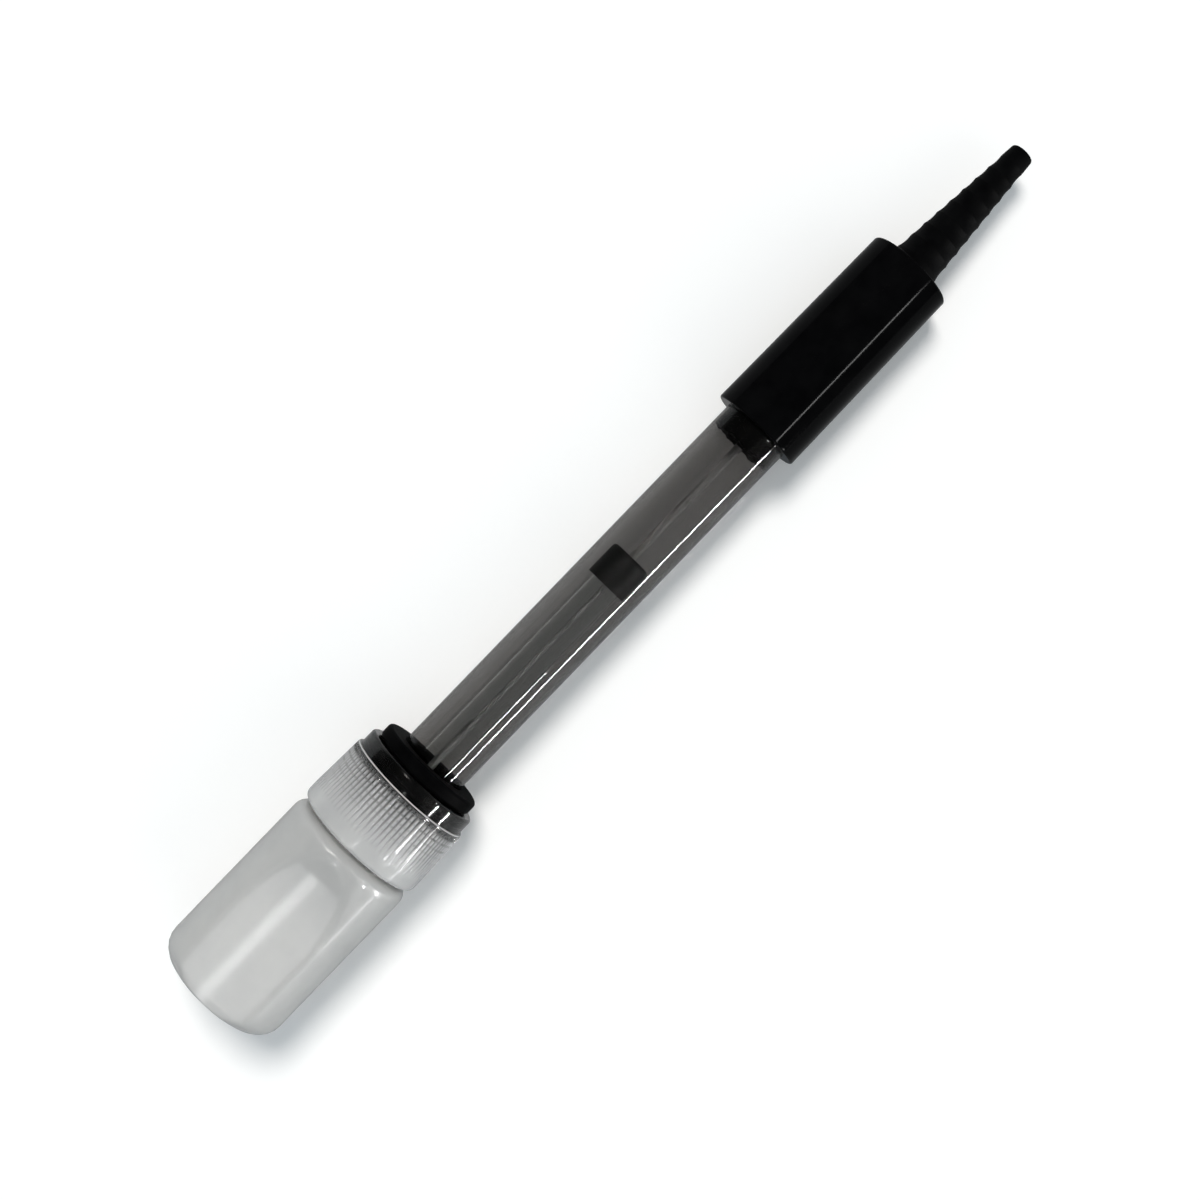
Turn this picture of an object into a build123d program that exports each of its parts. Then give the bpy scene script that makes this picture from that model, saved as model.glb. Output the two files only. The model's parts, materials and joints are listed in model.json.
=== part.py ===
from build123d import *
from math import acos, asin, atan2, cos, degrees, hypot, sin
import os

os.makedirs("parts", exist_ok=True)

# A combination pH electrode stored in its bottle, with its cable cut away.
# All sizes are millimetres. A station is a place along the centre line, counted from the
# bottle's base, and grows towards the strain relief.

# Room between pieces
seat_gap = 0.03  # glued, moulded and pushed-on seats, on the radius
slip_gap = 0.05  # pieces that turn or slide on each other
overrun = 1.0  # how far a cut runs past its face

# Storage bottle, blow moulded
bottle_radius = 11.65
bottle_wall = 1.2
bottle_corner = 3.5
shoulder_station = 33.2
shoulder_round = 2.0
neck_length = 10.7
neck_radius = 9.0
neck_wall = 1.4
neck_fillet = 0.6
lip_round = 0.3
base_hollow_depth = 0.6
base_hollow_radius = 7.0
base_hollow_round = 2.0
facet_distance = 9.0  # from the centre line to each of the two flats
facet_flat_length = 15.5
facet_runout_radius = 48.0

# Screw cap with a grip of fine grooves
cap_foot_gap = 0.5  # over the bottle's shoulder
band_radius = 11.7
band_length = 2.6
band_foot_round = 1.0
grip_length = 9.7
grip_taper = 0.35  # how much less the radius is at the grip's top
groove_count = 84
groove_depth = 0.45  # at the rim, from where each groove runs out towards the band
groove_root_width = 0.16
groove_mouth_width = 0.66  # where it is deepest
groove_runout = 0.4  # from the band to the grooves' shallow ends
rim_length = 0.5
rim_edge_round = 0.3
step_radius = 10.85
step_length = 2.9
step_edge_round = 0.6
cap_roof = 2.0
cap_hole_round = 0.2
thread_bore_radius = 10.1
pocket_radius = 9.7
bore_chamfer = 0.5

# Rubber seal, pressed between the cap and the bottle's lip
flange_radius = 9.55
flange_thickness = 2.4
flange_round = 0.6
seal_neck_radius = 7.95
clamped_flange_radius = 9.6
clamped_flange_round = 0.4
seal_lip_length = 1.2
seal_lip_round = 0.3
seal_groove_depth = 0.5

# Body tube with the bulb guard at its end
tube_radius = 6.0
tube_wall = 1.0
tube_length = 119.6
tube_edge_round = 0.25
tip_station = 20.4  # how high the tip stands over the bottle's base
guard_length = 9.0
guard_slot_width = 3.8
guard_slot_length = 6.8
guard_slot_turns = (0, 90)  # each cut makes two slots that face each other

# Glass cell: stem and bulb, blown as one piece
stem_radius = 2.75
stem_wall = 0.5
bulb_radius = 3.9
bulb_wall = 0.4
bulb_recess = 0.9  # behind the guard's end
stem_length = 69.7  # from the bulb's centre
bulb_fillet = 1.2

# Tip plug and the porous junction beside the stem
plug_thickness = 5.0
junction_radius = 0.75
junction_reach = 0.3  # how far the junction stands out of the plug

# Rubber stopper on the stem's end
stopper_radius = 3.25
stopper_length = 6.2
stopper_pocket = 3.5
stopper_round = 0.7

# Wires and leads
wire_radius = 0.3
wire_coat_radius = 0.55
wire_coat_length = 9.0
wire_tip_recess = 5.0  # from the bulb's centre to the wire's end
wire_end_length = 2.0  # bare end in the lead's ferrule
lead_radius = 0.65
lead_end_length = 8.0  # past the tube's end, inside the head
reference_coat_length = 14.0
reference_start = 12.0  # over the plug

# Black potting in the tube's upper end
potting_length = 15.8
potting_recess = 2.0  # under the tube's end
meniscus_depth = 0.7

# Head, a glossy moulded sleeve
head_foot_radius = 8.0
head_top_radius = 7.65
head_length = 36.1
head_socket_depth = 13.7
head_cavity_radius = 5.5
head_roof = 3.0
head_edge_round = 0.4

# Strain relief, a ringed rubber boot
boot_length = 26.4
boot_base_radius = 4.25
boot_tip_radius = 2.05
boot_tip_round = 0.5
boot_collar_length = 1.6
boot_tip_length = 2.8
boot_ring_count = 8
boot_ring_depth = 0.16
boot_neck_radius = 3.2
boot_flange_radius = 4.6
boot_flange_thickness = 1.6
cable_bore_radius = 1.4

# Stations that the sizes give
lip_station = shoulder_station + neck_length
cap_foot = shoulder_station + cap_foot_gap
band_top = cap_foot + band_length
grip_top = band_top + grip_length
grip_top_radius = band_radius - grip_taper
cap_top = grip_top + step_length
cap_ceiling = cap_top - cap_roof
seal_foot = lip_station + slip_gap
seal_top = cap_top + slip_gap + flange_thickness
tube_end = tip_station + tube_length
tube_bore_radius = tube_radius - tube_wall
plug_foot = tip_station + guard_length
plug_top = plug_foot + plug_thickness
bulb_station = tip_station + bulb_recess + bulb_radius
stem_end = bulb_station + stem_length
stopper_foot = stem_end - stopper_pocket
stopper_top = stopper_foot + stopper_length
wire_circle_radius = (stem_radius + tube_bore_radius) / 2
lead_end = tube_end + lead_end_length
potting_top = tube_end - potting_recess
potting_foot = potting_top - potting_length
head_foot = tube_end - head_socket_depth
head_top = head_foot + head_length
boot_tip = head_top + boot_length

# The whole thing lies on two round edges: the cap's band, where the grip's taper begins, and the
# head's upper rim, which is rounded.
head_slope = (head_foot_radius - head_top_radius) / head_length
rim_setback = head_edge_round * (hypot(1, head_slope) - head_slope)
contact_span = head_top - head_edge_round - band_top
contact_drop = band_radius - (head_top_radius - rim_setback)
lean = atan2(contact_drop, contact_span) - asin(head_edge_round / hypot(contact_span, contact_drop))

# The origin is on the floor, midway between the bottle's base and the boot's tip.
base_reach = bottle_corner * cos(lean) - (bottle_radius - bottle_corner) * sin(lean) - bottle_corner
tip_reach = (boot_tip - boot_tip_round) * cos(lean) + (boot_tip_radius - boot_tip_round) * sin(lean)
base_centre = Vector(
    -(base_reach + tip_reach + boot_tip_round) / 2,
    0,
    band_radius * cos(lean) + band_top * sin(lean),
)
along = Vector(cos(lean), 0, -sin(lean))
upward = Vector(sin(lean), 0, cos(lean))

# Sketches on this plane are drawn as (station, height over the centre line).
section = Plane(origin=base_centre, x_dir=along, z_dir=(0, -1, 0))
centre_line = Axis(base_centre, along)
base_plane = Plane(origin=base_centre, x_dir=upward, z_dir=along)


def turned_outline(corners):
    """A closed outline to be turned about the centre line, from (station, radius, rounding) corners."""
    with BuildSketch(section) as outline:
        with BuildLine():
            FilletPolyline(
                *[(station, radius) for station, radius, rounding in corners],
                radius=[rounding for station, radius, rounding in corners],
                close=True,
            )
        make_face()
    return outline.sketch


# Storage bottle: the same form twice, as the outside and as the cavity one wall further in.
# Two flats with curved run-outs face up and down.
def bottle_form(inset, neck, top):
    """The bottle's turned outline, moved in by inset, with its neck's radius and its upper end."""
    return turned_outline(
        [
            (base_hollow_depth + inset, 0, 0),
            (inset, base_hollow_radius, base_hollow_round),
            (inset, bottle_radius - inset, bottle_corner - inset),
            (shoulder_station - inset, bottle_radius - inset, shoulder_round - inset),
            (shoulder_station - inset, neck, neck_fillet + inset),
            (top, neck, lip_round),
            (top, 0, 0),
        ]
    )


def facet_cutters(inset):
    """What both flats take off, as areas of the section plane."""
    flat = facet_distance - inset
    runout = facet_runout_radius + inset
    far = bottle_radius + overrun
    runout_angle = degrees(acos(1 - (far - flat) / runout))
    with BuildSketch(section) as areas:
        with BuildLine():
            side = Line((-overrun, flat), (facet_flat_length, flat))
            arc = JernArc(side @ 1, side % 1, radius=runout, arc_size=runout_angle)
            Polyline(arc @ 1, (-overrun, far), side @ 0)
        make_face()
        mirror(about=Plane.XZ)
    return areas.sketch


with BuildPart() as bottle_cavity:
    revolve(bottle_form(bottle_wall, neck_radius - neck_wall, lip_station + overrun), axis=centre_line)
    extrude(facet_cutters(bottle_wall), amount=bottle_radius, both=True, mode=Mode.SUBTRACT)

with BuildPart() as storage_bottle:
    revolve(bottle_form(0, neck_radius, lip_station), axis=centre_line)
    extrude(facet_cutters(0), amount=bottle_radius, both=True, mode=Mode.SUBTRACT)
    add(bottle_cavity.part, mode=Mode.SUBTRACT)

storage_bottle.part.label = "storage_bottle"
export_step(storage_bottle.part, "parts/storage_bottle.step")


# One groove of the cap's grip: a prism that starts under the rim and rises along the cap, so
# that the groove runs out before the band.
grip_slope = grip_taper / grip_length
groove_start = grip_top - rim_length
groove_end = band_top + groove_runout
surface_at_start = grip_top_radius + rim_length * grip_slope
surface_at_end = band_radius - groove_runout * grip_slope
root_at_start = surface_at_start - groove_depth
root_rise = surface_at_end - root_at_start
root_length = hypot(groove_start - groove_end, root_rise)

with BuildPart() as groove:
    root_start = base_centre + along * groove_start + upward * root_at_start
    root_direction = along * (groove_end - groove_start) + upward * root_rise
    with BuildSketch(Plane(origin=root_start, x_dir=(0, -1, 0), z_dir=root_direction)):
        with BuildLine():
            Polyline(
                (-groove_root_width / 2, 0),
                (-groove_mouth_width / 2, groove_depth),
                (-groove_mouth_width / 2, groove_depth + overrun),
                (groove_mouth_width / 2, groove_depth + overrun),
                (groove_mouth_width / 2, groove_depth),
                (groove_root_width / 2, 0),
                close=True,
            )
        make_face()
    extrude(amount=root_length + overrun)


# Screw cap: a smooth band and a tapering grip of fine grooves under a rim, with a narrower
# step above, over one bored cavity.
with BuildPart() as bottle_cap:
    revolve(
        turned_outline(
            [
                (cap_foot, 0, 0),
                (cap_foot, band_radius, band_foot_round),
                (band_top, band_radius, 0),
                (grip_top, grip_top_radius, rim_edge_round),
                (grip_top, step_radius, 0),
                (cap_top, step_radius, step_edge_round),
                (cap_top, 0, 0),
            ]
        ),
        axis=centre_line,
    )
    add(
        [groove.part.rotate(centre_line, 360 * turn / groove_count) for turn in range(groove_count)],
        mode=Mode.SUBTRACT,
    )
    revolve(
        turned_outline(
            [
                (cap_foot - overrun, 0, 0),
                (cap_foot - overrun, thread_bore_radius + bore_chamfer + overrun, 0),
                (cap_foot + bore_chamfer, thread_bore_radius, 0),
                (seal_foot, thread_bore_radius, 0),
                (seal_foot, pocket_radius, 0),
                (cap_ceiling, pocket_radius, 0),
                (cap_ceiling, seal_neck_radius + slip_gap, 0),
                (cap_top + overrun, seal_neck_radius + slip_gap, 0),
                (cap_top + overrun, 0, 0),
            ]
        ),
        axis=centre_line,
        mode=Mode.SUBTRACT,
    )

bottle_cap.part.label = "bottle_cap"
export_step(bottle_cap.part, "parts/bottle_cap.step")


# Seal: a rubber grommet whose neck fills the cap's hole. A relief groove leaves two lips
# on the tube.
seal_bore_radius = tube_radius + slip_gap

with BuildPart() as seal:
    revolve(
        turned_outline(
            [
                (seal_foot, seal_bore_radius, seal_lip_round),
                (seal_foot, clamped_flange_radius, clamped_flange_round),
                (cap_ceiling - slip_gap, clamped_flange_radius, clamped_flange_round),
                (cap_ceiling - slip_gap, seal_neck_radius, 0),
                (cap_top + slip_gap, seal_neck_radius, 0),
                (cap_top + slip_gap, flange_radius, flange_round),
                (seal_top, flange_radius, flange_round),
                (seal_top, seal_bore_radius, seal_lip_round),
                (seal_top - seal_lip_length, seal_bore_radius, 0),
                (seal_top - seal_lip_length, seal_bore_radius + seal_groove_depth, 0),
                (seal_foot + seal_lip_length, seal_bore_radius + seal_groove_depth, 0),
                (seal_foot + seal_lip_length, seal_bore_radius, 0),
            ]
        ),
        axis=centre_line,
    )

seal.part.label = "seal"
export_step(seal.part, "parts/seal.step")


# Body tube: one moulded tube whose lower end is the bulb guard, slotted so that the
# sample reaches the bulb.
with BuildPart() as body_tube:
    revolve(
        turned_outline(
            [
                (tip_station, tube_bore_radius, tube_edge_round),
                (tip_station, tube_radius, tube_edge_round),
                (tube_end, tube_radius, tube_edge_round),
                (tube_end, tube_bore_radius, 0),
            ]
        ),
        axis=centre_line,
    )
    for turn in guard_slot_turns:
        facing = upward.rotate(Axis((0, 0, 0), along), turn)
        with BuildSketch(Plane(origin=base_centre, x_dir=along, z_dir=facing)) as guard_slot:
            with Locations((tip_station + guard_slot_length - guard_slot_width / 2, 0)):
                Circle(guard_slot_width / 2)
                Rectangle(
                    guard_slot_length + overrun - guard_slot_width / 2,
                    guard_slot_width,
                    align=(Align.MAX, Align.CENTER),
                )
        extrude(amount=tube_radius + overrun, both=True, mode=Mode.SUBTRACT)

body_tube.part.label = "body_tube"
export_step(body_tube.part, "parts/body_tube.step")


# Glass cell: a stem tube blown out to a thin bulb, closed at the bulb and open above.
with BuildPart() as glass_cell:
    with BuildSketch(section) as glass_section:
        with Locations((bulb_station, 0)):
            Circle(bulb_radius)
            Rectangle(stem_length, 2 * stem_radius, align=(Align.MIN, Align.CENTER))
            Circle(bulb_radius - bulb_wall, mode=Mode.SUBTRACT)
            Rectangle(
                stem_length + overrun,
                2 * (stem_radius - stem_wall),
                align=(Align.MIN, Align.CENTER),
                mode=Mode.SUBTRACT,
            )
        with Locations((bulb_station - bulb_radius, 0)):
            Rectangle(
                bulb_radius + stem_length + overrun,
                2 * bulb_radius,
                align=(Align.MIN, Align.MAX),
                mode=Mode.SUBTRACT,
            )
        where_bulb_meets_stem = glass_section.vertices().sort_by(Axis.X)[2:4]
        fillet(where_bulb_meets_stem, bulb_fillet)
    revolve(axis=centre_line)

glass_cell.part.label = "glass_cell"
export_step(glass_cell.part, "parts/glass_cell.step")


# Tip plug: fills the ring between the stem and the tube, with a hole for the junction.
with BuildPart() as tip_plug:
    with BuildSketch(base_plane.offset(plug_foot)):
        Circle(tube_bore_radius - seat_gap)
        Circle(stem_radius + seat_gap, mode=Mode.SUBTRACT)
        with Locations((wire_circle_radius, 0)):
            Circle(junction_radius + seat_gap, mode=Mode.SUBTRACT)
    extrude(amount=plug_thickness)

tip_plug.part.label = "tip_plug"
export_step(tip_plug.part, "parts/tip_plug.step")


# Junction: a porous ceramic pin through the plug, over the stem as it lies.
with BuildPart() as junction_pin:
    with BuildSketch(base_plane.offset(plug_foot - junction_reach)):
        with Locations((wire_circle_radius, 0)):
            Circle(junction_radius)
    extrude(amount=plug_thickness + junction_reach)

junction_pin.part.label = "junction_pin"
export_step(junction_pin.part, "parts/junction_pin.step")


# Stem stopper: a rubber cap over the stem's open end, with a hole for the wire.
with BuildPart() as stem_stopper:
    revolve(
        turned_outline(
            [
                (stopper_foot, stem_radius + seat_gap, 0),
                (stopper_foot, stopper_radius, 0),
                (stopper_top, stopper_radius, stopper_round),
                (stopper_top, wire_radius + seat_gap, 0),
                (stem_end, wire_radius + seat_gap, 0),
                (stem_end, stem_radius + seat_gap, 0),
            ]
        ),
        axis=centre_line,
    )

stem_stopper.part.label = "stem_stopper"
export_step(stem_stopper.part, "parts/stem_stopper.step")


# Measuring wire: silver, with a thick chloride coat at the end near the bulb.
measuring_wire_foot = bulb_station + wire_tip_recess

with BuildPart() as measuring_wire:
    revolve(
        turned_outline(
            [
                (measuring_wire_foot, 0, 0),
                (measuring_wire_foot, wire_coat_radius, wire_coat_radius - wire_radius),
                (measuring_wire_foot + wire_coat_length, wire_coat_radius, wire_coat_radius - wire_radius),
                (measuring_wire_foot + wire_coat_length, wire_radius, 0),
                (stopper_top + wire_end_length, wire_radius, 0),
                (stopper_top + wire_end_length, 0, 0),
            ]
        ),
        axis=centre_line,
    )

measuring_wire.part.label = "measuring_wire"
export_step(measuring_wire.part, "parts/measuring_wire.step")


# Signal lead: insulated, from the wire's end through the potting into the head.
with BuildPart() as signal_lead:
    revolve(
        turned_outline(
            [
                (stopper_top, wire_radius + seat_gap, 0),
                (stopper_top, lead_radius, 0),
                (lead_end, lead_radius, 0),
                (lead_end, 0, 0),
                (stopper_top + wire_end_length, 0, 0),
                (stopper_top + wire_end_length, wire_radius + seat_gap, 0),
            ]
        ),
        axis=centre_line,
    )

signal_lead.part.label = "signal_lead"
export_step(signal_lead.part, "parts/signal_lead.step")


# Reference wire: under the stem as it lies, coated at its lower end, and held by the potting.
reference_foot = plug_top + reference_start

with BuildPart() as reference_wire:
    with BuildSketch(base_plane.offset(reference_foot)):
        with Locations((-wire_circle_radius, 0)):
            Circle(wire_coat_radius)
    extrude(amount=reference_coat_length)
    with BuildSketch(base_plane.offset(reference_foot)):
        with Locations((-wire_circle_radius, 0)):
            Circle(wire_radius)
    extrude(amount=lead_end - reference_foot)

reference_wire.part.label = "reference_wire"
export_step(reference_wire.part, "parts/reference_wire.step")


# Potting: cast around both wires in the tube's upper end, with a hollow meniscus below.
with BuildPart() as potting:
    with BuildSketch(section):
        with BuildLine():
            rim = (potting_foot, tube_bore_radius - seat_gap)
            crown = (potting_foot + meniscus_depth, 0)
            Polyline(rim, (potting_top, tube_bore_radius - seat_gap), (potting_top, 0), crown)
            TangentArc(crown, rim, tangent=(0, 1))
        make_face()
    revolve(axis=centre_line)
    with BuildSketch(base_plane.offset(potting_foot)):
        Circle(lead_radius + seat_gap)
        with Locations((-wire_circle_radius, 0)):
            Circle(wire_radius + seat_gap)
    extrude(amount=potting_length, mode=Mode.SUBTRACT)

potting.part.label = "potting"
export_step(potting.part, "parts/potting.step")


# Head: a sleeve that tapers a little, with a socket for the tube, a cavity and a roof.
with BuildPart() as head_shell:
    revolve(
        turned_outline(
            [
                (head_foot, tube_radius + seat_gap, 0),
                (head_foot, head_foot_radius, head_edge_round),
                (head_top, head_top_radius, head_edge_round),
                (head_top, boot_neck_radius + seat_gap, 0),
                (head_top - head_roof, boot_neck_radius + seat_gap, 0),
                (head_top - head_roof, head_cavity_radius, 0),
                (tube_end, head_cavity_radius, 0),
                (tube_end, tube_radius + seat_gap, 0),
            ]
        ),
        axis=centre_line,
    )

head_shell.part.label = "head_shell"
export_step(head_shell.part, "parts/head_shell.step")


# Strain relief: a boot with shallow ring grooves, held by a flange under the head's roof.
rings_start = head_top + boot_collar_length
rings_end = boot_tip - boot_tip_length
boot_slope = (boot_base_radius - boot_tip_radius) / boot_length


def boot_radius(station):
    """The boot's taper."""
    return boot_base_radius - boot_slope * (station - head_top)


with BuildPart() as strain_relief:
    with BuildSketch(section) as boot_section:
        with BuildLine():
            roof_underside = head_top - head_roof
            flange_foot = roof_underside - boot_flange_thickness
            Polyline(
                (flange_foot, cable_bore_radius),
                (flange_foot, boot_flange_radius),
                (roof_underside, boot_flange_radius),
                (roof_underside, boot_neck_radius),
                (head_top, boot_neck_radius),
                (head_top, boot_base_radius),
                (rings_start, boot_radius(rings_start)),
            )
            ring_pitch = (rings_end - rings_start) / boot_ring_count
            for ring in range(boot_ring_count):
                start = rings_start + ring * ring_pitch
                middle = start + ring_pitch / 2
                end = start + ring_pitch
                ThreePointArc(
                    (start, boot_radius(start)),
                    (middle, boot_radius(middle) - boot_ring_depth),
                    (end, boot_radius(end)),
                )
            FilletPolyline(
                (rings_end, boot_radius(rings_end)),
                (boot_tip, boot_tip_radius),
                (boot_tip, cable_bore_radius),
                radius=boot_tip_round,
            )
            Line((boot_tip, cable_bore_radius), (flange_foot, cable_bore_radius))
        make_face()
    revolve(axis=centre_line)

strain_relief.part.label = "strain_relief"
export_step(strain_relief.part, "parts/strain_relief.step")
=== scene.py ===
import json
from math import atan2, ceil, copysign, cos, radians, sin, sqrt, tan, tau

import bpy
from mathutils import Matrix, Vector
from mathutils.noise import noise as noise_at

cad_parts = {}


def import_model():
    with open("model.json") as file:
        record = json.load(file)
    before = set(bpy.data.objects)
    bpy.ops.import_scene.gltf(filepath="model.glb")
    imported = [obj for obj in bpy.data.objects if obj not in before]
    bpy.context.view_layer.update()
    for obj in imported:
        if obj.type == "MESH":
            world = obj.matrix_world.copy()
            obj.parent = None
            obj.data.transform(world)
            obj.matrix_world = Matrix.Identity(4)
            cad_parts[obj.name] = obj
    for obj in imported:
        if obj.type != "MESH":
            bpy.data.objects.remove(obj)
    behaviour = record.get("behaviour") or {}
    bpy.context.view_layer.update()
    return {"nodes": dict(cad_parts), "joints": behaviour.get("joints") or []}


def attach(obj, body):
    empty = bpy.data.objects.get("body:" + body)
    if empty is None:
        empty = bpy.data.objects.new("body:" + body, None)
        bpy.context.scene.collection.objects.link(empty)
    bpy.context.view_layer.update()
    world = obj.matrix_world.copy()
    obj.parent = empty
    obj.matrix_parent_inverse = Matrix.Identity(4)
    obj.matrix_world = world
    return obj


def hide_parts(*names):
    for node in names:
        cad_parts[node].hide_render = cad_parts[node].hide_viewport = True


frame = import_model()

# The looks of a combination pH electrode that lies in its storage bottle.
# A station is a place along the centre line, counted from the bottle's base. A run is the longest
# distance that a mesh has between two rings of points.
MM = 0.001
ROUNDING_STEPS = 6
SHARP_ANGLE = radians(40)

# Storage bottle
BOTTLE_RADIUS = 11.65 * MM
BOTTLE_WALL = 1.2 * MM
BOTTLE_CORNER = 3.5 * MM
SHOULDER_STATION = 33.2 * MM
SHOULDER_ROUND = 2.0 * MM
NECK_LENGTH = 10.7 * MM
NECK_RADIUS = 9.0 * MM
NECK_WALL = 1.4 * MM
NECK_FILLET = 0.6 * MM
LIP_ROUND = 0.3 * MM
BASE_HOLLOW_DEPTH = 0.6 * MM
BASE_HOLLOW_RADIUS = 7.0 * MM
BASE_HOLLOW_ROUND = 2.0 * MM
FACET_DISTANCE = 9.0 * MM
FACET_FLAT_LENGTH = 15.5 * MM
FACET_RUNOUT_RADIUS = 48.0 * MM
FACET_EDGE_BLEND = 0.45 * MM  # blown edges are soft
BOTTLE_COLUMNS = 320
BOTTLE_OUTER_RUN = 0.35 * MM
BOTTLE_INNER_RUN = 0.8 * MM
LIP_STATION = SHOULDER_STATION + NECK_LENGTH

# Body tube
TUBE_RADIUS = 6.0 * MM
TUBE_BORE_RADIUS = 5.0 * MM

# Potting, poured into the tube under the head. Its lower end is uneven.
POTTING_FOOT = 122.2 * MM
POTTING_LENGTH = 15.8 * MM
POTTING_RADIUS = 4.97 * MM
POTTING_EDGE_ROUND = 0.3 * MM
POTTING_COLUMNS = 96
POTTING_RUN = 0.25 * MM
UNEVEN_LENGTH = 3 * MM
UNEVEN_HEIGHT = 1.3 * MM
UNEVEN_MEAN = 0.5  # share of the height
UNEVEN_WAVES = ((1.6 * MM, 0.5), (0.5 * MM, 0.3))  # size and share of the height

# Screw thread of the bottle's neck and of the cap
THREAD_PITCH = 2.5 * MM
THREAD_HEIGHT = 0.75 * MM
THREAD_PEAK = 1.5  # where its flanks would meet, in heights. Over 1, the crest is flat.
THREAD_SLOPE = 4.6  # of its flanks, in heights to a pitch
THREAD_RUNOUT = 0.12  # of a turn, at each end
THREAD_RUN = 0.2 * MM
NECK_THREAD_START = 1.6 * MM  # over the shoulder
NECK_THREAD_TURNS = 3
CAP_THREAD_START = 2.2 * MM  # over the cap's foot
CAP_THREAD_TURNS = 3

# Screw cap with a grip of fine grooves
CAP_FOOT_GAP = 0.5 * MM
BAND_RADIUS = 11.7 * MM
BAND_LENGTH = 2.6 * MM
BAND_FOOT_ROUND = 1.0 * MM
GRIP_LENGTH = 9.7 * MM
GRIP_TAPER = 0.35 * MM
GRIP_RUN = 1.0 * MM
GROOVE_COUNT = 84
GROOVE_DEPTH = 0.45 * MM
GROOVE_ROOT_WIDTH = 0.16 * MM
GROOVE_MOUTH_WIDTH = 0.66 * MM
GROOVE_EDGE_WIDTH = 0.04 * MM  # moulded edges are soft
GROOVE_RUNOUT = 0.4 * MM
RIM_LENGTH = 0.5 * MM
RIM_EDGE_ROUND = 0.3 * MM
# How far the painted highlight reaches from the rim's outer edge
RIM_HIGHLIGHT_REACH = 0.7 * RIM_EDGE_ROUND
STEP_RADIUS = 10.85 * MM
STEP_LENGTH = 2.9 * MM
STEP_EDGE_ROUND = 0.6 * MM
CAP_ROOF = 2.0 * MM
CAP_HOLE_RADIUS = 8.0 * MM
THREAD_BORE_RADIUS = 10.1 * MM
POCKET_RADIUS = 9.7 * MM
BORE_CHAMFER = 0.5 * MM
SLIP_GAP = 0.05 * MM

CAP_FOOT = SHOULDER_STATION + CAP_FOOT_GAP
BAND_TOP = CAP_FOOT + BAND_LENGTH
GRIP_TOP = BAND_TOP + GRIP_LENGTH
GRIP_TOP_RADIUS = BAND_RADIUS - GRIP_TAPER
GROOVE_START = GRIP_TOP - RIM_LENGTH
GROOVE_END = BAND_TOP + GROOVE_RUNOUT
CAP_TOP = GRIP_TOP + STEP_LENGTH
CAP_CEILING = CAP_TOP - CAP_ROOF
SEAL_FOOT = LIP_STATION + SLIP_GAP

# The centre line comes from the joint that turns the cap, which is placed at the cap's middle.
cap_turn = next(joint for joint in frame["joints"] if joint["name"] == "cap_turn")
ALONG = Vector(cap_turn["axis"]).normalized()
SIDE = Vector((0, -1, 0))
UPWARD = SIDE.cross(ALONG)
BASE_CENTRE = Vector(cap_turn["pos_m"]) - ALONG * (CAP_FOOT + CAP_TOP) / 2


def place(station, radius, turn):
    """The point at a station and radius, turned about the centre line from straight up."""
    across = UPWARD * cos(turn) + SIDE * sin(turn)
    return BASE_CENTRE + ALONG * station + across * radius


# Mesh tools
def limited(share):
    return min(1, max(0, share))


def even_turns(count):
    return [tau * step / count for step in range(count)]


def rounded(corners):
    """The points of an outline, from (station, radius, rounding) corners."""
    points = []
    for index, (station, radius, rounding) in enumerate(corners):
        corner = Vector((station, radius))
        if not rounding:
            points.append(corner)
            continue
        back = (Vector(corners[index - 1][:2]) - corner).normalized()
        ahead = (Vector(corners[(index + 1) % len(corners)][:2]) - corner).normalized()
        half = back.angle(ahead) / 2
        centre = corner + (back + ahead).normalized() * rounding / sin(half)
        first = corner + back * rounding / tan(half) - centre
        last = corner + ahead * rounding / tan(half) - centre
        sweep = atan2(first.x * last.y - first.y * last.x, first.dot(last))
        for step in range(ROUNDING_STEPS + 1):
            points.append(centre + Matrix.Rotation(sweep * step / ROUNDING_STEPS, 2) @ first)
    return points


def divided(points, longest):
    """The same outline, with no run between two points longer than longest."""
    fine = [points[0]]
    for start, end in zip(points, points[1:]):
        runs = max(1, ceil((end - start).length / longest))
        fine += [start.lerp(end, run / runs) for run in range(1, runs + 1)]
    return fine


def turned_mesh(name, points, turns, shape, closed):
    """A mesh turned from an outline, with its columns at turns. shape(station, radius, turn) gives
    each point's radius and turn. A closed outline is a ring's, and an open one starts and ends on
    the centre line."""
    vertices = []
    rings = []
    around = len(turns)
    for station, radius, *rest in points:
        start = len(vertices)
        if radius > 0:
            vertices += [place(station, *shape(station, radius, turn, *rest)) for turn in turns]
            rings.append([start + step for step in range(around)])
        else:
            vertices.append(place(station, 0, 0))
            rings.append([start] * around)
    pairs = list(zip(rings, rings[1:]))
    if closed:
        pairs.append((rings[-1], rings[0]))
    faces = []
    for ring, following in pairs:
        for step in range(around):
            after = (step + 1) % around
            loop = [ring[step], ring[after], following[after], following[step]]
            faces.append(list(dict.fromkeys(loop)))
    mesh = bpy.data.meshes.new(name)
    mesh.from_pydata(vertices, [], faces)
    mesh.shade_smooth()
    mesh.set_sharp_from_angle(angle=SHARP_ANGLE)
    piece = bpy.data.objects.new(name, mesh)
    bpy.context.scene.collection.objects.link(piece)
    return piece


def soft_least(first, second, blend):
    """The smaller of two lengths, with a soft edge where they meet."""
    share = limited(0.5 + (second - first) / (2 * blend))
    return second + (first - second) * share - blend * share * (1 - share)


def soft_step(value):
    """From 0 to 1 with soft ends."""
    value = limited(value)
    return value * value * (3 - 2 * value)


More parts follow.
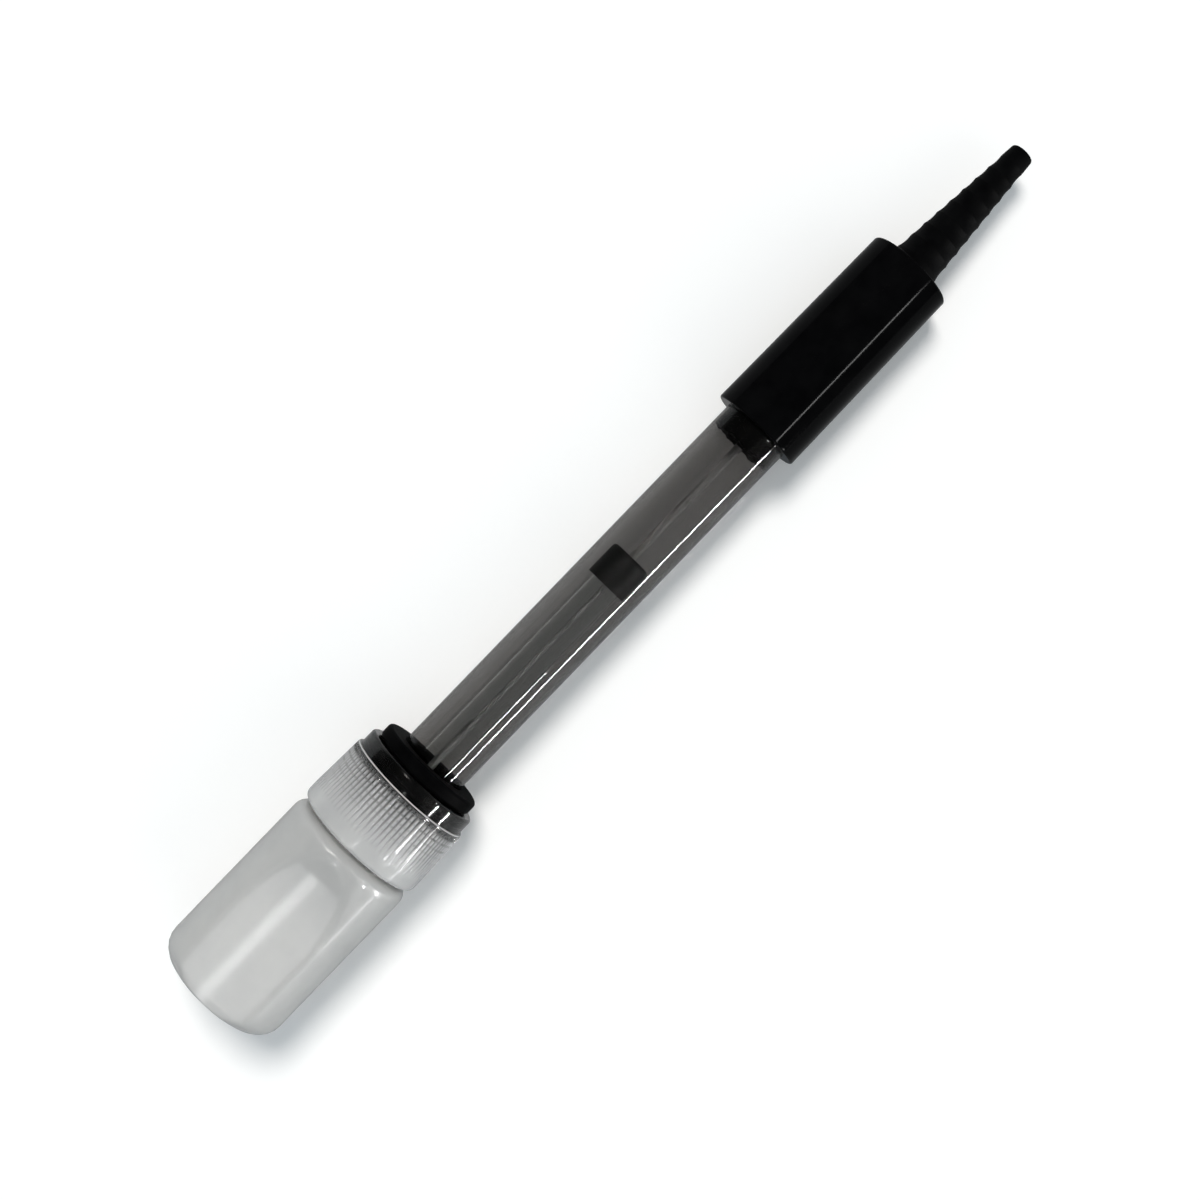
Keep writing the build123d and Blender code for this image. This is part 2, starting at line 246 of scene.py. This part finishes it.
def thread_ridge(station, turn, start, turns):
    """How much of its height a right-handed thread has at a place, from 0 to 1."""
    travelled = (station - start) / THREAD_PITCH - turn / tau
    nearest = round(travelled)
    along_thread = nearest + turn / tau
    crest = soft_step(THREAD_PEAK - abs(travelled - nearest) * THREAD_SLOPE)
    first_end = soft_step(along_thread / THREAD_RUNOUT)
    last_end = soft_step((turns - along_thread) / THREAD_RUNOUT)
    return crest * (first_end * last_end)


# Storage bottle
def bottle_outline(inset, neck):
    """The bottle's outline up to its lip, moved in by inset."""
    return rounded(
        [
            (BASE_HOLLOW_DEPTH + inset, 0, 0),
            (inset, BASE_HOLLOW_RADIUS, BASE_HOLLOW_ROUND),
            (inset, BOTTLE_RADIUS - inset, BOTTLE_CORNER - inset),
            (SHOULDER_STATION - inset, BOTTLE_RADIUS - inset, SHOULDER_ROUND - inset),
            (SHOULDER_STATION - inset, neck, NECK_FILLET + inset),
            (LIP_STATION - LIP_ROUND, neck, 0),
        ]
    )


def facet_height(station, inset):
    """How far a flat and its curved run-out stand from the centre line."""
    past = max(0, station - FACET_FLAT_LENGTH)
    runout = FACET_RUNOUT_RADIUS + inset
    return FACET_DISTANCE - inset + runout - sqrt(max(0, runout**2 - past**2))


def bottle_shape(station, radius, turn, inset):
    """The turned body, cut by the two flats, with the thread on the outside of its neck."""
    upright = max(abs(cos(turn)), 1e-6)
    height = soft_least(radius, facet_height(station, inset) / upright, FACET_EDGE_BLEND)
    if inset == 0 and station > SHOULDER_STATION:
        start = SHOULDER_STATION + NECK_THREAD_START
        height += THREAD_HEIGHT * thread_ridge(station, turn, start, NECK_THREAD_TURNS)
    return height, turn


def storage_bottle():
    neck_bore = NECK_RADIUS - NECK_WALL
    outside = divided(bottle_outline(0, NECK_RADIUS), BOTTLE_OUTER_RUN)
    inside = divided(bottle_outline(BOTTLE_WALL, neck_bore), BOTTLE_INNER_RUN)
    lip = rounded(
        [
            (LIP_STATION - 2 * LIP_ROUND, NECK_RADIUS, 0),
            (LIP_STATION, NECK_RADIUS, LIP_ROUND),
            (LIP_STATION, neck_bore, LIP_ROUND),
            (LIP_STATION - 2 * LIP_ROUND, neck_bore, 0),
        ]
    )
    points = [(*point, 0) for point in outside + lip[2:-2]]
    points += [(*point, BOTTLE_WALL) for point in reversed(inside)]
    turns = even_turns(BOTTLE_COLUMNS)
    piece = turned_mesh("storage_bottle_blown", points, turns, bottle_shape, closed=False)
    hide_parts("storage_bottle")
    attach(piece, "bottle")
    return piece


# Screw cap
def groove_share(station):
    """How much of its full depth a groove has at a station, from 1 at its start to 0 at its end."""
    return limited((station - GROOVE_END) / (GROOVE_START - GROOVE_END))


def cap_columns():
    """The cap's columns, seven to a groove, each as (groove, place across it)."""
    return [(groove, across) for groove in range(GROOVE_COUNT) for across in range(-3, 4)]


def cap_shape(station, radius, column, part):
    """Across a groove, the columns are its middle, its root's two edges, and two beside each upper
    edge of its flanks, which keep that edge soft."""
    groove, across = column
    share = groove_share(station) if part == "grooved" else 1
    root = GROOVE_ROOT_WIDTH / 2
    mouth = root + share * (GROOVE_MOUTH_WIDTH / 2 - root)
    edge = min(GROOVE_EDGE_WIDTH, (mouth - root) / 2)
    from_middle = (0, root, mouth - edge, mouth + edge)[abs(across)]
    turn = tau * groove / GROOVE_COUNT + copysign(from_middle, across) / GRIP_TOP_RADIUS
    if part == "grooved":
        flank = (GROOVE_MOUTH_WIDTH - GROOVE_ROOT_WIDTH) / 2
        rise = GROOVE_DEPTH * max(0, from_middle - root) / flank
        radius -= max(0, share * GROOVE_DEPTH - rise)
    if part == "thread":
        start = CAP_FOOT + CAP_THREAD_START
        radius -= THREAD_HEIGHT * thread_ridge(station, turn, start, CAP_THREAD_TURNS)
    return radius, turn


def mark_cap(mesh):
    """Marks places for the material: how deep each groove is, for painted shade down in the
    grooves, what lies against the seal, and the rim's outer edge, where a painted highlight is
    made."""
    names = ("groove_depth", "against_seal", "painted_rim_highlight")
    marks = [mesh.attributes.new(name, "FLOAT", "POINT").data for name in names]
    edge = Vector((GRIP_TOP, GRIP_TOP_RADIUS))
    for vertex, depth, touch, rim_highlight in zip(mesh.vertices, *marks):
        outward = vertex.co - BASE_CENTRE
        station = outward.dot(ALONG)
        radius = outward.cross(ALONG).length
        if GROOVE_END < station < GROOVE_START and radius > THREAD_BORE_RADIUS + BORE_CHAMFER:
            full = BAND_RADIUS - GRIP_TAPER * (station - BAND_TOP) / GRIP_LENGTH
            depth.value = (full - radius) / GROOVE_DEPTH
        if station > SEAL_FOOT - SLIP_GAP and radius < POCKET_RADIUS + SLIP_GAP:
            touch.value = 1
        # The rim's outer edge, where a painted highlight is made
        if (Vector((station, radius)) - edge).length < RIM_HIGHLIGHT_REACH:
            rim_highlight.value = 1


def bottle_cap():
    foot = rounded(
        [
            (CAP_FOOT, THREAD_BORE_RADIUS + BORE_CHAMFER, 0),
            (CAP_FOOT, BAND_RADIUS, BAND_FOOT_ROUND),
            (BAND_TOP, BAND_RADIUS, 0),
            (GROOVE_END, BAND_RADIUS - GRIP_TAPER * GROOVE_RUNOUT / GRIP_LENGTH, 0),
        ]
    )
    start_radius = GRIP_TOP_RADIUS + GRIP_TAPER * RIM_LENGTH / GRIP_LENGTH
    grip = divided([foot[-1], Vector((GROOVE_START, start_radius))], GRIP_RUN)
    rim = rounded(
        [
            (GROOVE_START + GROOVE_EDGE_WIDTH, start_radius, 0),
            (GRIP_TOP, GRIP_TOP_RADIUS, RIM_EDGE_ROUND),
            (GRIP_TOP, STEP_RADIUS, 0),
            (CAP_TOP, STEP_RADIUS, STEP_EDGE_ROUND),
            (CAP_TOP, CAP_HOLE_RADIUS, 0),
            (CAP_CEILING, CAP_HOLE_RADIUS, 0),
            (CAP_CEILING, POCKET_RADIUS, 0),
            (SEAL_FOOT, POCKET_RADIUS, 0),
            (SEAL_FOOT, THREAD_BORE_RADIUS, 0),
        ]
    )
    bore = [
        Vector((SEAL_FOOT, THREAD_BORE_RADIUS)),
        Vector((CAP_FOOT + BORE_CHAMFER, THREAD_BORE_RADIUS)),
        Vector((CAP_FOOT, THREAD_BORE_RADIUS + BORE_CHAMFER)),
    ]
    points = [(*point, "smooth") for point in foot]
    points += [(*point, "grooved") for point in grip[1:]]
    points += [(*point, "smooth") for point in rim[:-1]]
    points += [(*point, "thread") for point in divided(bore, THREAD_RUN)[:-1]]
    piece = turned_mesh("bottle_cap_moulded", points, cap_columns(), cap_shape, closed=True)
    mark_cap(piece.data)
    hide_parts("bottle_cap")
    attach(piece, "cap")
    return piece


# Potting
def round_shape(station, radius, turn):
    return radius, turn


def potting():
    foot, top = POTTING_FOOT, POTTING_FOOT + POTTING_LENGTH
    outline = rounded(
        [
            (foot, 0, 0),
            (foot, POTTING_RADIUS, POTTING_EDGE_ROUND),
            (top, POTTING_RADIUS, 0),
            (top, 0, 0),
        ]
    )
    points = divided(outline, POTTING_RUN)
    turns = even_turns(POTTING_COLUMNS)
    piece = turned_mesh("potting_poured", points, turns, round_shape, closed=False)
    for vertex in piece.data.vertices:
        station = (vertex.co - BASE_CENTRE).dot(ALONG)
        share = soft_step(1 - (station - foot) / UNEVEN_LENGTH)
        height = UNEVEN_MEAN
        for size, part in UNEVEN_WAVES:
            height += part * noise_at(vertex.co / size)
        vertex.co += ALONG * share * UNEVEN_HEIGHT * limited(height)
    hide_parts("potting")
    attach(piece, "electrode")
    return piece


# Material tools
WHITE = (1, 1, 1)
NOISE_DETAIL = 3.0
NOISE_LOW, NOISE_HIGH = 0.3, 0.7  # the middle of a noise's range
MOTTLE = 12  # size of a plastic's mottled colour, in grains
BASE_ALONG = BASE_CENTRE.dot(ALONG)


def new_material(name):
    """A material with a Principled shader. Returns the material, its node tree and the shader."""
    material = bpy.data.materials.new(name)
    material.use_nodes = True
    tree = material.node_tree
    return material, tree, tree.nodes["Principled BSDF"]


def settings(shader, **values):
    """Sets the shader's own sockets, named with underlines for spaces."""
    for name, value in values.items():
        shader.inputs[name.replace("_", " ").title().replace("Ior", "IOR")].default_value = value


def source(shader, name):
    """The output that is linked to a socket of the shader."""
    return shader.inputs[name].links[0].from_socket


def coordinates(tree):
    return tree.nodes.new("ShaderNodeTexCoord").outputs["Object"]


def attribute(tree, name):
    node = tree.nodes.new("ShaderNodeAttribute")
    node.attribute_name = name
    return node.outputs["Fac"]


def noise(tree, size, stretch=(1, 1, 1)):
    """Noise over the surface, with grains of about the given size, stretched along an axis."""
    mapping = tree.nodes.new("ShaderNodeMapping")
    texture = tree.nodes.new("ShaderNodeTexNoise")
    mapping.inputs["Scale"].default_value = [1 / share for share in stretch]
    texture.inputs["Scale"].default_value = 1 / size
    texture.inputs["Detail"].default_value = NOISE_DETAIL
    tree.links.new(coordinates(tree), mapping.inputs["Vector"])
    tree.links.new(mapping.outputs["Vector"], texture.inputs["Vector"])
    return texture.outputs["Fac"]


def math_node(tree, operation, first, second=None):
    """The value of a Math node. Its second input may be a plain number, or left out."""
    node = tree.nodes.new("ShaderNodeMath")
    node.operation = operation
    tree.links.new(first, node.inputs[0])
    if isinstance(second, bpy.types.NodeSocket):
        tree.links.new(second, node.inputs[1])
    elif second is not None:
        node.inputs[1].default_value = second
    return node.outputs["Value"]


def vector_node(tree, operation, first, second=None):
    """The outputs of a Vector Math node. Its second input is a plain vector, or left out."""
    node = tree.nodes.new("ShaderNodeVectorMath")
    node.operation = operation
    tree.links.new(first, node.inputs[0])
    if second is not None:
        node.inputs[1].default_value = second
    return node.outputs


def ramp(tree, value, start, end, low, high):
    """A value that runs from low at start to high at end."""
    node = tree.nodes.new("ShaderNodeMapRange")
    for name, number in zip(("From Min", "From Max", "To Min", "To Max"), (start, end, low, high)):
        node.inputs[name].default_value = number
    tree.links.new(value, node.inputs["Value"])
    return node.outputs["Result"]


def station_ramp(tree, along, start, end, low, high):
    """A value that runs from low at the station start to high at the station end."""
    return ramp(tree, along, BASE_ALONG + start, BASE_ALONG + end, low, high)


def between(tree, factor, low, high):
    """A value that runs from low to high over the middle of a noise's range."""
    return ramp(tree, factor, NOISE_LOW, NOISE_HIGH, low, high)


def colours(tree, factor, first, second):
    """A colour that runs from first to second over the middle of a noise's range."""
    node = tree.nodes.new("ShaderNodeValToRGB")
    ends = zip(node.color_ramp.elements, (NOISE_LOW, NOISE_HIGH), (first, second))
    for element, position, colour in ends:
        element.position = position
        element.color = (*colour, 1)
    tree.links.new(factor, node.inputs["Fac"])
    return node.outputs["Color"]


def mixed_colour(tree, factor, first, second):
    """A colour that runs from first, which is another node's, to the plain colour second."""
    node = tree.nodes.new("ShaderNodeMixRGB")
    node.inputs["Color2"].default_value = (*second, 1)
    tree.links.new(factor, node.inputs["Fac"])
    tree.links.new(first, node.inputs["Color1"])
    return node.outputs["Color"]


def cloudy(name, grain, first, second, rough, **more):
    """A material whose colour and gloss vary in clouds of about the given size. Returns the
    material, its node tree and the shader."""
    material, tree, shader = new_material(name)
    cloud = noise(tree, grain)
    tree.links.new(colours(tree, cloud, first, second), shader.inputs["Base Color"])
    tree.links.new(between(tree, cloud, *rough), shader.inputs["Roughness"])
    settings(shader, **more)
    return material, tree, shader


def plastic(name, first, second, grain, rough, depth, **more):
    """An opaque plastic, rubber or resin with mottled colour, uneven gloss and a fine texture,
    raised by about the given depth."""
    material, tree, shader = new_material(name)
    fine = noise(tree, grain)
    wide = noise(tree, MOTTLE * grain)
    tree.links.new(colours(tree, wide, first, second), shader.inputs["Base Color"])
    tree.links.new(between(tree, fine, *rough), shader.inputs["Roughness"])
    bump = tree.nodes.new("ShaderNodeBump")
    bump.inputs["Distance"].default_value = depth
    tree.links.new(fine, bump.inputs["Height"])
    tree.links.new(bump.outputs["Normal"], shader.inputs["Normal"])
    settings(shader, **more)
    return material


# Clear and cloudy plastics
DRAW_LINE_WIDTH = 0.6 * MM
DRAW_LINE_STRETCH = (30, 1, 1)
TUBE_HAZE = 2 * MM
TUBE_INNER_IOR, TUBE_OUTER_IOR = 1.235, 1.42
SMOKE_DENSITY = 0.365 / MM
CLOUD = 4 * MM  # in natural polyethylene
# The last is the transmission at the rim's outer edge, lowered there to paint a highlight line
CAP_TRANSMISSION, WET_TRANSMISSION, RIM_HIGHLIGHT_TRANSMISSION = 0.6, 1.0, 0.4
CAP_IOR, WET_IOR = 1.4, 1.01
WET_ROUGHNESS = 0.4  # share of the dry roughness
WET_START, WET_END = SEAL_FOOT + 0.3 * MM, SEAL_FOOT + 1.8 * MM
# Painted shade down in the cap's grooves, mixed in by each groove's depth
GROOVE_SHADE_COLOUR = (0.10, 0.10, 0.10)
# Where the painted shade lines over the cap's thread rise, how dark they get, and how they break
LINES_START, LINES_END = GRIP_TOP - 7 * MM, GRIP_TOP - 1 * MM
LINES_STRENGTH = 0.95
LINES_BREAK = 1.5 * MM


def smoky_plastic():
    """The body tube: clear, grey and polished, with faint lines along it. The gel in it is nearly
    as dense as its wall, so the wall bends light much more on its outside than on its inside."""
    material, tree, shader = new_material("smoky_clear_plastic")
    draw_lines = noise(tree, DRAW_LINE_WIDTH, stretch=DRAW_LINE_STRETCH)
    tint = colours(tree, draw_lines, (0.92, 0.92, 0.92), (0.96, 0.955, 0.95))
    tree.links.new(tint, shader.inputs["Base Color"])
    tree.links.new(between(tree, noise(tree, TUBE_HAZE), 0.02, 0.05), shader.inputs["Roughness"])
    outward = vector_node(tree, "SUBTRACT", coordinates(tree), BASE_CENTRE)["Vector"]
    across = vector_node(tree, "CROSS_PRODUCT", outward, ALONG)["Vector"]
    radius = vector_node(tree, "LENGTH", across)["Value"]
    bend = ramp(tree, radius, TUBE_BORE_RADIUS, TUBE_RADIUS, TUBE_INNER_IOR, TUBE_OUTER_IOR)
    bend.node.interpolation_type = "STEPPED"
    bend.node.inputs["Steps"].default_value = 1
    tree.links.new(bend, shader.inputs["IOR"])
    settings(shader, transmission_weight=1.0)
    smoke = tree.nodes.new("ShaderNodeVolumeAbsorption")
    smoke.inputs["Color"].default_value = (0, 0, 0, 1)
    smoke.inputs["Density"].default_value = SMOKE_DENSITY
    tree.links.new(smoke.outputs["Volume"], tree.nodes["Material Output"].inputs["Volume"])
    return material


def bottle_plastic():
    return cloudy(
        "bottle_plastic",
        CLOUD,
        (0.89, 0.89, 0.88),
        (0.95, 0.95, 0.935),
        rough=(0.28, 0.34),
        transmission_weight=0.62,
        ior=1.5,
        coat_weight=0.4,
        coat_roughness=0.045,
    )[0]


def painted_thread_shade(tree, along):
    """Painted shade in broken lines round the cap, where the flanks of its thread would show
    through, up to its rim.
    """
    wave = math_node(tree, "SINE", math_node(tree, "MULTIPLY", along, 2 * tau / THREAD_PITCH))
    lines = ramp(tree, wave, 0.1, 0.9, 0.0, 1.0)
    broken = between(tree, noise(tree, LINES_BREAK), 0.1, 1.0)
    rise = station_ramp(tree, along, LINES_START, LINES_END, 0.0, LINES_STRENGTH)
    fall = station_ramp(tree, along, GROOVE_START, GRIP_TOP, 1.0, 0.0)
    drawn = math_node(tree, "MULTIPLY", lines, broken)
    return math_node(tree, "MULTIPLY", drawn, math_node(tree, "MULTIPLY", rise, fall))


def cap_plastic():
    """The cap has painted shade down in its grooves and in lines over its thread, and a painted
    highlight on its rim's outer edge, where it is less see-through. The seal lies wet against it,
    so that it is clearer there, and the wall of its pocket bends no light."""
    material, tree, shader = cloudy(
        "cap_plastic",
        CLOUD,
        (0.88, 0.88, 0.88),
        (0.95, 0.95, 0.94),
        rough=(0.18, 0.24),
        coat_weight=0.3,
        coat_roughness=0.08,
    )
    along = vector_node(tree, "DOT_PRODUCT", coordinates(tree), ALONG)["Value"]
    # Painted shade, deepest down in the grooves and in lines over the thread
    painted_shade = math_node(tree, "MAXIMUM", attribute(tree, "groove_depth"), painted_thread_shade(tree, along))
    shaded = mixed_colour(tree, painted_shade, source(shader, "Base Color"), GROOVE_SHADE_COLOUR)
    smoother = station_ramp(tree, along, WET_START, WET_END, 1.0, WET_ROUGHNESS)
    rough = math_node(tree, "MULTIPLY", source(shader, "Roughness"), smoother)
    clear = station_ramp(tree, along, WET_START, WET_END, CAP_TRANSMISSION, WET_TRANSMISSION)
    # A painted highlight: the rim's outer edge is made less see-through, so it shows paler
    rim_highlight = ramp(tree, attribute(tree, "painted_rim_highlight"), 0, 1, 1.0, RIM_HIGHLIGHT_TRANSMISSION)
    bend = ramp(tree, attribute(tree, "against_seal"), 0, 1, CAP_IOR, WET_IOR)
    tree.links.new(shaded, shader.inputs["Base Color"])
    tree.links.new(rough, shader.inputs["Roughness"])
    tree.links.new(math_node(tree, "MULTIPLY", clear, rim_highlight), shader.inputs["Transmission Weight"])
    tree.links.new(bend, shader.inputs["IOR"])
    return material


# Materials of the CAD nodes that are shown. Gloss is 0.5 on most plastics.
BLACK = (0.0015, 0.0015, 0.0017)
SOOT = (0.003, 0.003, 0.0032)


def black(name, grain, rough, depth, gloss=0.5):
    return plastic(name, BLACK, SOOT, grain, rough, depth, specular_ior_level=gloss)


def node_materials():
    silver = plastic(
        "silver_chloride",
        (0.30, 0.30, 0.30),
        (0.38, 0.38, 0.38),
        grain=0.1 * MM,
        rough=(0.5, 0.7),
        depth=0.004 * MM,
    )
    return {
        "body_tube": smoky_plastic(),
        "glass_cell": cloudy(
            "clear_glass",
            3 * MM,
            (0.94, 0.96, 0.955),
            (0.98, 0.99, 0.985),
            rough=(0.01, 0.03),
            transmission_weight=1.0,
            ior=1.05,  # in gel
        )[0],
        "signal_lead": cloudy(
            "clear_insulation",
            1 * MM,
            (0.91, 0.91, 0.90),
            (0.95, 0.95, 0.94),
            rough=(0.1, 0.2),
            transmission_weight=1.0,
            ior=1.03,  # in gel
        )[0],
        "measuring_wire": silver,
        "reference_wire": silver,
        "head_shell": black("head_plastic", 0.3 * MM, (0.06, 0.10), 0.001 * MM, gloss=0.04),
        "strain_relief": black("boot_rubber", 0.2 * MM, (0.45, 0.6), 0.012 * MM, gloss=0.06),
        "seal": black("seal_rubber", 0.25 * MM, (0.45, 0.55), 0.004 * MM, gloss=0.015),
        "stem_stopper": black("stopper_rubber", 0.3 * MM, (0.5, 0.65), 0.01 * MM),
        "tip_plug": plastic(
            "tip_resin",
            (0.03, 0.03, 0.03),
            (0.05, 0.05, 0.05),
            grain=0.5 * MM,
            rough=(0.3, 0.5),
            depth=0.01 * MM,
        ),
        "junction_pin": plastic(
            "porous_ceramic",
            (0.62, 0.60, 0.55),
            (0.85, 0.84, 0.80),
            grain=0.12 * MM,
            rough=(0.8, 0.95),
            depth=0.02 * MM,
        ),
    }


def dress_nodes():
    for name, material in node_materials().items():
        frame["nodes"][name].data.materials.clear()
        frame["nodes"][name].data.materials.append(material)


# Camera: it looks straight down on the middle of the object, which lies across the picture
CAMERA_STATION = 93.5 * MM
CAMERA_HEIGHT = 303 * MM
CAMERA_TURN = radians(46)  # of the centre line in the picture, up from level
CLIP_START = 10 * MM
PICTURE_SIDE = 1200
OPTICAL_AXIS = (614.5, 576.2)  # where it meets the picture, in pixels
SENSOR = 36
LENS_PIXELS = 1870
PICTURE_RIGHT = ALONG * cos(CAMERA_TURN) + SIDE * sin(CAMERA_TURN)
PICTURE_UP = ALONG * sin(CAMERA_TURN) - SIDE * cos(CAMERA_TURN)


def camera():
    data = bpy.data.cameras.new("camera")
    data.sensor_width = SENSOR
    data.lens = LENS_PIXELS / PICTURE_SIDE * SENSOR
    data.shift_x = (PICTURE_SIDE / 2 - OPTICAL_AXIS[0]) / PICTURE_SIDE
    data.shift_y = (OPTICAL_AXIS[1] - PICTURE_SIDE / 2) / PICTURE_SIDE
    data.clip_start = CLIP_START
    turned = Matrix((PICTURE_RIGHT, PICTURE_UP, UPWARD)).transposed().to_4x4()
    viewer = bpy.data.objects.new("camera", data)
    viewer.matrix_world = Matrix.Translation(place(CAMERA_STATION, CAMERA_HEIGHT, 0)) @ turned
    bpy.context.scene.collection.objects.link(viewer)
    bpy.context.scene.camera = viewer


# Lights, tilted by degrees from straight up
WARM = (1.0, 0.965, 0.925)

# Each strip's tilt to the side, station, distance, length and width in metres, and watts
STRIPS = {
    "low_strip": (84, 0.076, 0.45, 0.192, 0.03, 1.15),
    "bottle_strip": (84, -0.098, 0.45, 0.074, 0.03, 0.06),
    "high_strip": (57, 0.011, 0.45, 0.072, 0.02, 0.3),
    "head_strip": (54, 0.220, 0.45, 0.09, 0.02, 0.25),
    "overhead_strip": (-0.3, -0.259, 0.6, 0.442, 0.005, 0.11),
    "overhead_glow": (-0.3, -0.259, 0.61, 0.442, 0.05, 0.24),
}


def tilted(degrees, towards):
    return UPWARD * cos(radians(degrees)) + towards * sin(radians(degrees))


def facing(back):
    """How a lamp is turned that shines away from back, and is long in the object's direction."""
    across = back.cross(ALONG).normalized()
    return Matrix((across.cross(back), across, back)).transposed().to_4x4()


def sun(name, tilt, towards, strength, width):
    """A soft distant light that makes no highlight. It is width degrees wide."""
    data = bpy.data.lights.new(name, "SUN")
    data.energy = strength
    data.angle = radians(width)
    data.color = WARM
    light = bpy.data.objects.new(name, data)
    light.matrix_world = facing(tilted(tilt, towards))
    light.visible_glossy = False
    bpy.context.scene.collection.objects.link(light)


def strip(name, tilt, station, distance, length, width, watts):
    """A panel that only shows in glossy surfaces. It faces the centre line at a station."""
    data = bpy.data.lights.new(name, "AREA")
    data.shape = "RECTANGLE"
    data.size = length
    data.size_y = width
    data.energy = watts
    light = bpy.data.objects.new(name, data)
    back = tilted(tilt, SIDE)
    light.matrix_world = Matrix.Translation(place(station, 0, 0) + back * distance) @ facing(back)
    light.visible_diffuse = False
    light.visible_transmission = False
    bpy.context.scene.collection.objects.link(light)


def lights():
    sun("key", tilt=27, towards=PICTURE_UP, strength=2.1, width=19)
    sun("side_fill", tilt=66, towards=SIDE, strength=0.5, width=60)
    for name, values in STRIPS.items():
        strip(name, *values)


# Surroundings
SKY_COLOUR = (0.78, 0.91, 1.0)
SKY_STRENGTH = 0.42
WHITE_STRENGTHS = (("Is Glossy Ray", 0.04), ("Is Camera Ray", 1.0))
FLOOR_REACH = 4.0  # metres from the middle
FLOOR_GRAIN = 30 * MM
FLOOR_ROUGHNESS = 0.9
FLOOR_IN_REFLECTIONS = (0.42, 0.42, 0.42)
FLOOR_GLOW = (0.07, 0.06, 0.05)


def world():
    """Soft light from all around, which glossy surfaces see as a dim room, and the camera as
    white."""
    surroundings = bpy.data.worlds.new("studio")
    bpy.context.scene.world = surroundings
    surroundings.use_nodes = True
    tree = surroundings.node_tree
    soft_light = tree.nodes["Background"]
    soft_light.inputs["Color"].default_value = (*SKY_COLOUR, 1)
    soft_light.inputs["Strength"].default_value = SKY_STRENGTH
    light_path = tree.nodes.new("ShaderNodeLightPath")
    shown = soft_light.outputs["Background"]
    for ray, strength in WHITE_STRENGTHS:
        background = tree.nodes.new("ShaderNodeBackground")
        background.inputs["Color"].default_value = (*WHITE, 1)
        background.inputs["Strength"].default_value = strength
        mixed = tree.nodes.new("ShaderNodeMixShader")
        tree.links.new(light_path.outputs[ray], mixed.inputs["Fac"])
        tree.links.new(shown, mixed.inputs[1])
        tree.links.new(background.outputs["Background"], mixed.inputs[2])
        shown = mixed.outputs["Shader"]
    tree.links.new(shown, tree.nodes["World Output"].inputs["Surface"])


def floor():
    """A plain pale table with the shadow, shown as white by itself and through clear plastic, and
    as grey in reflections."""
    mesh = bpy.data.meshes.new("floor")
    signs = ((-1, -1), (1, -1), (1, 1), (-1, 1))
    corners = [(FLOOR_REACH * right, FLOOR_REACH * up, 0) for right, up in signs]
    mesh.from_pydata(corners, [], [(0, 1, 2, 3)])
    table = bpy.data.objects.new("floor", mesh)
    bpy.context.scene.collection.objects.link(table)
    material, tree, shader = new_material("floor")
    rays = tree.nodes.new("ShaderNodeLightPath").outputs
    seen = math_node(tree, "MAXIMUM", rays["Is Camera Ray"], rays["Is Transmission Ray"])
    grain = colours(tree, noise(tree, FLOOR_GRAIN), (0.80, 0.80, 0.81), (0.82, 0.82, 0.82))
    white = mixed_colour(tree, seen, grain, WHITE)
    shown = mixed_colour(tree, rays["Is Glossy Ray"], white, FLOOR_IN_REFLECTIONS)
    tree.links.new(shown, shader.inputs["Base Color"])
    tree.links.new(seen, shader.inputs["Emission Strength"])
    settings(shader, roughness=FLOOR_ROUGHNESS, emission_color=(*FLOOR_GLOW, 1))
    mesh.materials.append(material)


dress_nodes()
storage_bottle().data.materials.append(bottle_plastic())
bottle_cap().data.materials.append(cap_plastic())
potting().data.materials.append(
    black("potting_resin", 0.8 * MM, (0.4, 0.6), 0.02 * MM, gloss=0.05)
)
camera()
lights()
world()
floor()

bpy.context.scene.view_settings.view_transform = "Standard"

bpy.context.view_layer.update()
